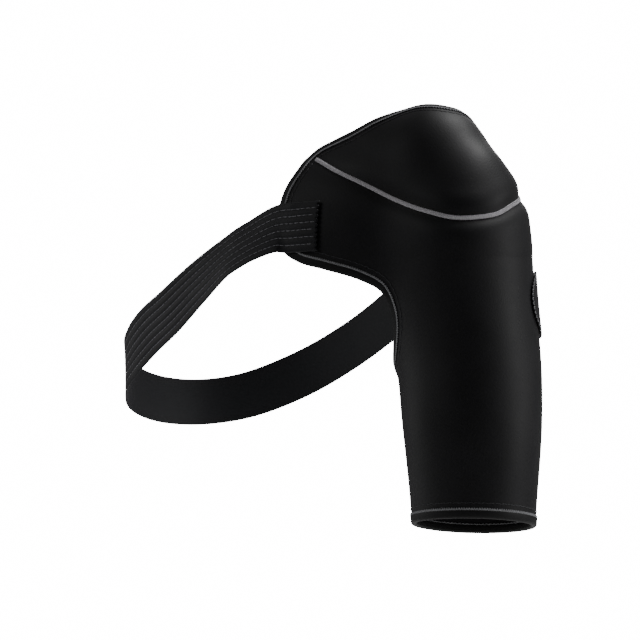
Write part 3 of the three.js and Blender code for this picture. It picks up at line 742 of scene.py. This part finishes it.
# name, thread, slot, step, least and most beside the tape's rim, height, width, thickness
STITCH_ROWS = [
    ("coverstitch", thread, "seam_thread", 0.95, -1.4, 1.3, WALL + 0.675, 1.15, 0.8),
    ("inner_coverstitch", thread, "seam_thread", 1.7, -0.7, 0.5, -0.6, 1.2, 0.8),
    ("second_row", dark_thread, "edge_tape", 2.6, -5.6, -5.0, WALL + 0.1, 0.9, 0.7),
]
for edge, line, turned in (("edge", open_edge, edge_turned), ("hem", hem_line, hem_turned)):
    for name, material, slot, pitch, low, high, height, width, thick in STITCH_ROWS:
        run = stitch_run(line, pitch, low - TAPE_WIDTH, high - TAPE_WIDTH, height, True, turned)
        row = stitches(f"{edge}_{name}", run, material, width, thick)

# The seam round the cap is a flat seam: the panels are butted, and grey thread is laced
# over both, outside and inside, in a raised band.
SEAM_WIDTH = 3.5
SEAM_STEP = 2.2
LACING_PITCH = 0.9
CLEAR_OF_TAPE = 5


def inside_open_edge(line):
    """The stretch of a line that lies between the tapes."""
    gap = np.linalg.norm(line[:, None] - open_edge[None, ::5], axis=2).min(axis=1)
    middle = len(line) // 2
    clear = gap > TAPE_WIDTH + CLEAR_OF_TAPE
    first = middle - np.argmax(~clear[middle::-1]) + 1
    last = middle + np.argmax(~clear[middle:]) - 1
    return line[first : last + 1]


seam_shown = inside_open_edge(seam_line)
seam_thread = dyed_thread("pale_seam_thread", "#b4b2b7", "#dddadf")
half = SEAM_WIDTH / 2
band = [(-half, WALL - 0.3), (-half, WALL + 0.35), (-half / 2, WALL + 0.75)]
band += [(half / 2, WALL + 0.75), (half, WALL + 0.35), (half, WALL - 0.3), (-half, WALL - 0.3)]
seam_band = finish("cap_seam_band", sweep(seam_shown, SEAM_STEP, band, False), seam_thread)
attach(seam_band, "root")
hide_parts("cap_seam")
band = [(x, WALL - y) for x, y in band]
inner_band = finish("cap_seam_inner_band", sweep(seam_shown, SEAM_STEP, band, False), seam_thread)
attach(inner_band, "root")
for name, height in (("outer", WALL + 0.75), ("inner", -0.75)):
    run = stitch_run(seam_shown, LACING_PITCH, -half, half, height, False)
    lacing = stitches(f"cap_seam_{name}_lacing", run, seam_thread, 0.8, 0.45)

# The chest strap is knitted elastic webbing, 43 mm wide, with seven flat ribs and pale
# dashes of thread between them. Its front end is pinked and hooks onto the front wing, and
# its back end is sewn to the back wing.
CHEST_WIDTH = 344
CHEST_DEPTH = 237
CHEST_CENTRE = 195
STRAP_DROP = 252
STRAP_WIDTH = 43
STRAP_THICKNESS = 1.8
STRAP_RIBS = 7
RIB_HEIGHT = 0.6
STRAP_LIFT = 4.7
TOOTH = 1.9
TEETH_TO_RIB = 1.5
FRONT_END = 12  # the stretches at the strap's ends that have closer rows
BACK_END = 6
FLAT_END = 8  # the ribs and the teeth fade over this length
# side, back, down, lean in degrees
STRAP_PATH = [
    (0.371, -0.367, 0.382, 8),
    (0.294, -0.401, 0.387, 9),
    (0.256, -0.414, 0.389, 18),
    (0.172, -0.439, 0.433, 29),
    (0.11, -0.454, 0.476, 29),
    (0.006, -0.462, 0.567, 13),
    (-0.11, -0.452, 0.667, -3),
    (-0.215, -0.42, 0.736, -9),
    (-0.305, -0.38, 0.806, -6),
    (-0.369, -0.329, 0.857, -2),
    (-0.451, -0.203, 0.929, 0),
    (-0.497, 0, 0.984, 0),
    (-0.483, 0.203, 1, 0),
    (-0.416, 0.359, 0.976, 0),
    (-0.29, 0.481, 0.897, 0),
    (-0.131, 0.532, 0.786, 0),
    (0.029, 0.536, 0.663, 6),
    (0.174, 0.511, 0.548, 10),
    (0.282, 0.464, 0.456, 10),
    (0.375, 0.409, 0.397, 8),
]
path = np.array(STRAP_PATH)
strap_places = path[:, :3] * [CHEST_WIDTH, CHEST_DEPTH, -STRAP_DROP] - [CHEST_CENTRE, 0, 0]
strap_line = smooth_line(strap_places)
strap_length = length_of(strap_line)
line_reach = np.concatenate([[0], np.cumsum(np.linalg.norm(np.diff(strap_line, axis=0), axis=1))])
lean_rows = np.column_stack([np.arange(len(path)), path[:, 3], 0 * path[:, 3]])
leans = smooth_line(lean_rows)[:, 1]


def strap_points(reach, across, height):
    """Places on the strap: reach along it, across its width, and height over its inner face."""
    share = reach / strap_length
    places = along(strap_line, share)
    tangents = unit(along(strap_line, share + 0.0008) - along(strap_line, share - 0.0008))
    lean = np.radians(np.interp(reach, line_reach, leans))[:, None]
    flat = unit(np.column_stack([-tangents[:, 1], tangents[:, 0], 0 * share]))
    normals = flat * np.cos(lean) + np.array([0, 0, 1]) * np.sin(lean)
    ups = unit(np.cross(tangents, normals))
    normals = np.cross(ups, tangents)
    places = places + ups * across[:, None]
    feet = on_form(places)
    out = unit(form_slope(feet))
    low = ((places - feet) * out).sum(axis=1) < STRAP_LIFT
    places[low] = feet[low] + out[low] * STRAP_LIFT
    return places + normals * height[:, None], normals


reaches = np.concatenate([
    np.arange(0, FRONT_END, 1.0),
    np.arange(FRONT_END, strap_length - BACK_END, 3.0),
    np.linspace(strap_length - BACK_END, strap_length, 5),
])
across = np.linspace(-1, 1, STRAP_RIBS * 8 + 1) * STRAP_WIDTH / 2
pitch = STRAP_WIDTH / STRAP_RIBS
swell = np.abs(np.sin(np.pi * (across + STRAP_WIDTH / 2) / pitch)) ** 0.6
teeth = TOOTH * (1 - 2 * np.abs(((across / pitch * TEETH_TO_RIB) % 1) - 0.5))
grid_reach, grid_across = np.meshgrid(reaches, across, indexing="ij")
shift = teeth[None] * np.clip(1 - grid_reach / FLAT_END, 0, 1)
flatter = np.clip(grid_reach / FLAT_END, 0.4, 1)
top_height = STRAP_THICKNESS - RIB_HEIGHT * (1 - swell[None]) * flatter
low_height = 0 * top_height
top_height[:, [0, -1]] = STRAP_THICKNESS * 0.55
low_height[:, [0, -1]] = STRAP_THICKNESS * 0.35
for heights in (top_height, low_height):
    heights[[0, -1]] = STRAP_THICKNESS / 2
flat_args = (grid_reach + shift).reshape(-1), grid_across.reshape(-1)
strap_top = strap_points(*flat_args, top_height.reshape(-1))[0].reshape(*grid_reach.shape, 3)
strap_low = strap_points(*flat_args, low_height.reshape(-1))[0].reshape(*grid_reach.shape, 3)
rows = np.concatenate([strap_top, strap_low[:, ::-1], strap_top[:, :1]], axis=1)
marks = np.stack([grid_reach, grid_across], axis=-1)
marks = np.concatenate([marks, marks[:, ::-1], marks[:, :1]], axis=1)

# Woven elastic: charcoal yarn, dull, with the weft and the rubber's yarns seen as fine ridges.
webbing, tree, shader = blank_material("ribbed_elastic_webbing")
place = add_node(tree, "ShaderNodeUVMap", uv_map="UVMap")
weft = add_node(
    tree,
    "ShaderNodeTexWave",
    {"Scale": WAVE_BAND / 1.382, "Distortion": 0.6, "Detail": 1, "Detail Scale": 2},
    {"Vector": place.outputs["UV"]},
    bands_direction="X",
)
yarn = add_node(
    tree,
    "ShaderNodeTexWave",
    {"Scale": WAVE_BAND / 1.885, "Distortion": 0.4, "Detail": 1},
    {"Vector": place.outputs["UV"]},
    bands_direction="Y",
)
fuzz = add_node(tree, "ShaderNodeTexNoise", {"Scale": 1.2, "Detail": 3}, {"Vector": place.outputs["UV"]})
weave = add_node(
    tree, "ShaderNodeMath", {}, {0: weft.outputs["Fac"], 1: yarn.outputs["Fac"]}, operation="MULTIPLY"
)
total = add_node(
    tree, "ShaderNodeMath", {}, {0: weave.outputs[0], 1: fuzz.outputs["Fac"]}, operation="MULTIPLY"
)
tone = add_node(tree, "ShaderNodeValToRGB", links={"Fac": total.outputs[0]})
tone.color_ramp.elements[0].position = 0.0
tone.color_ramp.elements[0].color = srgb("#17171b")
tone.color_ramp.elements[1].position = 0.6
tone.color_ramp.elements[1].color = srgb("#38383f")
bump = add_node(
    tree, "ShaderNodeBump", {"Strength": 0.5, "Distance": 0.25 * MM}, {"Height": weave.outputs[0]}
)
tree.links.new(tone.outputs["Color"], shader.inputs["Base Color"])
tree.links.new(bump.outputs["Normal"], shader.inputs["Normal"])
shader.inputs["Roughness"].default_value = 0.6
shader.inputs["Sheen Weight"].default_value = 0.03
shader.inputs["Specular IOR Level"].default_value = 0.3

strap = finish("strap", lay(rows, marks, closed=True), webbing)
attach(strap, "root")
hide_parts("chest_strap")

# Pale threads show as dashes in the grooves between the ribs.
DASH_PITCH = 5.2
DASH = 4.4
pale_thread = dyed_thread("pale_dash_thread", "#4a4b50", "#a4a4aa")
starts, ends, ups = [], [], []
for rib in range(1, STRAP_RIBS):
    beginnings = np.arange(3 + (rib % 2) * DASH_PITCH / 2, strap_length - 12, DASH_PITCH)
    side = np.full(len(beginnings), -STRAP_WIDTH / 2 + rib * pitch)
    height = np.full(len(beginnings), STRAP_THICKNESS - RIB_HEIGHT + 0.2)
    first, normals = strap_points(beginnings, side, height)
    starts.append(first)
    ends.append(strap_points(beginnings + DASH, side, height)[0])
    ups.append(normals)
run = (np.vstack(starts), np.vstack(ends), np.vstack(ups))
dashes = stitches("strap_dashes", run, pale_thread, 0.75, 0.5)

# Two rows of black zigzag stitches hold the strap's back end on the back wing.
TACK_ROWS = (5, 16)
TACK_DOTS = 26
TACK_DEPTH = 1.6
TACK_MARGIN = 2
starts, ends, ups = [], [], []
for back in TACK_ROWS:
    side = np.linspace(-STRAP_WIDTH / 2 + TACK_MARGIN, STRAP_WIDTH / 2 - TACK_MARGIN, TACK_DOTS)
    reach = strap_length - back - np.where(np.arange(TACK_DOTS) % 2, TACK_DEPTH, 0)
    dots, normals = strap_points(reach, side, np.full(TACK_DOTS, STRAP_THICKNESS))
    starts.append(dots[:-1])
    ends.append(dots[1:])
    ups.append(normals[:-1])
run = (np.vstack(starts), np.vstack(ends), np.vstack(ups))
tack = stitches("strap_tack", run, dark_thread, 0.9, 0.7)

# The hook pad is a piece of hook tape sewn under the strap's front end, which grips the
# jersey of the front wing.
PAD_LENGTH = 24
PAD_WIDTH = 31
PAD_START = 4
PAD_GAP = 0.15  # to the jersey below and to the strap above

# Nylon hook tape: black pins, drawn 1.4 mm apart, on a lighter ground.
hooks, tree, shader = blank_material("nylon_hook_tape")
place = add_node(tree, "ShaderNodeTexCoord")
pins = add_node(
    tree,
    "ShaderNodeTexVoronoi",
    {"Scale": 1 / (1.4 * MM), "Randomness": 0.2},
    {"Vector": place.outputs["Object"]},
)
tone = add_node(tree, "ShaderNodeValToRGB", links={"Fac": pins.outputs["Distance"]})
tone.color_ramp.elements[0].color = srgb("#1b1b1d")
tone.color_ramp.elements[1].color = srgb("#08080a")
bump = add_node(
    tree, "ShaderNodeBump", {"Strength": 0.8, "Distance": 0.4 * MM}, {"Height": pins.outputs["Distance"]}
)
bump.invert = True
tree.links.new(tone.outputs["Color"], shader.inputs["Base Color"])
tree.links.new(bump.outputs["Normal"], shader.inputs["Normal"])
shader.inputs["Roughness"].default_value = 0.5


def flat_piece(name, long, wide, steps, columns, low, high, place, material):
    """A flat piece on the cloth: place gives points from shares along and across it."""
    shares = np.linspace(0, 1, steps + 1), np.linspace(-0.5, 0.5, columns + 1)
    share_long, share_wide = np.meshgrid(*shares, indexing="ij")
    spots = on_form(place(share_long.reshape(-1), share_wide.reshape(-1)))
    rim = np.ones(share_long.shape)
    rim[0], rim[-1], rim[:, 0], rim[:, -1] = 0, 0, 0, 0
    middle, half = (low + high) / 2, (high - low) / 2
    near = np.minimum.reduce([
        share_long * long, (1 - share_long) * long, (0.5 - share_wide) * wide, (0.5 + share_wide) * wide
    ])
    rounding = np.sqrt(1 - (1 - np.clip(near / (high - low), 0, 1)) ** 2) * rim
    top = cloth(spots, (middle + half * rounding).reshape(-1)).reshape(*rim.shape, 3)
    under = cloth(spots, (middle - half * rounding).reshape(-1)).reshape(*rim.shape, 3)
    rows = np.concatenate([top, under[:, ::-1], top[:, :1]], axis=1)
    return finish(name, lay(rows, closed=True), material)


def pad_place(share_long, share_wide):
    """Places under the strap, by share of the pad's length and width."""
    reach = share_long * PAD_LENGTH + PAD_START
    return strap_points(reach, share_wide * PAD_WIDTH, 0 * reach)[0]


low, high = WALL + PAD_GAP, STRAP_LIFT - PAD_GAP
pad = flat_piece("hook_pad", PAD_LENGTH, PAD_WIDTH, 12, 18, low, high, pad_place, hooks)
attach(pad, "root")
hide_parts("strap_hook_pad")

# The closing tab is a tongue of neoprene with a round end, wrapped round the back of the
# sleeve and hooked onto it. Grey overlock thread runs round its rim.
TAB_WIDTH = 54
TAB_LENGTH = 76
TAB_THICKNESS = 2.4
TAB_START = math.radians(24)
TAB_DROP = 163
TAB_GAP = 0.2


def tab_place(share_long, share_wide):
    """Places round the sleeve's back, by share of the tongue's length and width."""
    centre, radius = tube_at(np.array([float(TAB_DROP)]))
    centre, radius = centre[0], radius[0] + WALL
    reach = TAB_LENGTH * share_long**1.7 + 0.6
    rounded = np.minimum(reach / (TAB_WIDTH / 2), 1)
    width = TAB_WIDTH * np.sqrt(1 - (1 - rounded) ** 2)
    angle = TAB_START + reach / radius
    out = np.column_stack([np.cos(angle), np.sin(angle), 0 * angle]) * radius
    return centre + out + np.column_stack([0 * angle, 0 * angle, share_wide * width])


low, high = WALL + TAB_GAP, WALL + TAB_GAP + TAB_THICKNESS
tab = flat_piece("tab", TAB_LENGTH, TAB_WIDTH, 44, 26, low, high, tab_place, jersey)
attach(tab, "root")
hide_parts("closing_tab")

rim_share = np.linspace(0, 1, 60)
rim_side = np.full(len(rim_share), 0.5)
rim = on_form(np.vstack([tab_place(rim_share[::-1], rim_side), tab_place(rim_share, -rim_side)]))
run = stitch_run(rim, 1.9, -1.3, 1.5, WALL + TAB_GAP + TAB_THICKNESS * 0.8, False)
overlock = stitches("tab_overlock", run, thread, 1.0, 1.0)

# A plain pale floor under the hanging brace, soft boxes at both sides and above, and a
# white room.
FLOOR = -0.62
FLOOR_RADIUS = 1.2
bm = bmesh.new()
bmesh.ops.create_circle(bm, cap_ends=True, segments=96, radius=FLOOR_RADIUS)
bmesh.ops.translate(bm, vec=(look_at.x, look_at.y, FLOOR), verts=bm.verts)
paper, tree, shader = blank_material("pale_paper")
place = add_node(tree, "ShaderNodeTexCoord")
tooth = add_node(
    tree, "ShaderNodeTexNoise", {"Scale": 1 / (11 * MM), "Detail": 4}, {"Vector": place.outputs["Object"]}
)
bump = add_node(
    tree, "ShaderNodeBump", {"Strength": 0.1, "Distance": 0.5 * MM}, {"Height": tooth.outputs["Fac"]}
)
tree.links.new(bump.outputs["Normal"], shader.inputs["Normal"])
shader.inputs["Base Color"].default_value = srgb("#ececec")
shader.inputs["Roughness"].default_value = 0.9
floor = finish("floor", bm, paper, smooth=False)

# name, place, size, power
AIM = Vector((-0.05, 0, -0.15))
LIGHTS = [
    ("key", (-1.2, -2.4, 1.4), 1.4, 9.5),
    ("side", (1.9, 1.35, 0.3), 1.2, 19),
    ("top", (0.35, 1.1, 2.0), 0.8, 42),
    ("back", (-1.6, 2.0, 0.8), 1.6, 16),
    ("left", (-2.2, -0.9, 0.2), 1.2, 7.5),
]
for name, spot, size, power in LIGHTS:
    light = bpy.data.objects.new(name, bpy.data.lights.new(name, "AREA"))
    light.data.size = size
    light.data.energy = power
    light.location = spot
    light.rotation_euler = (AIM - light.location).to_track_quat("-Z", "Y").to_euler()
    bpy.context.scene.collection.objects.link(light)

# The room is bright to the eye, and gives the brace little light.
ROOM_LIGHT = 0.1
ROOM_SEEN = 16
world = bpy.data.worlds.new("white_room")
world.use_nodes = True
tree = world.node_tree
sight = add_node(tree, "ShaderNodeLightPath")
strength = add_node(
    tree,
    "ShaderNodeMapRange",
    {"To Min": ROOM_LIGHT, "To Max": ROOM_SEEN},
    {"Value": sight.outputs["Is Camera Ray"]},
)
tree.nodes["Background"].inputs["Color"].default_value = (1, 1, 1, 1)
tree.links.new(strength.outputs["Result"], tree.nodes["Background"].inputs["Strength"])
bpy.context.scene.world = world

bpy.context.view_layer.update()
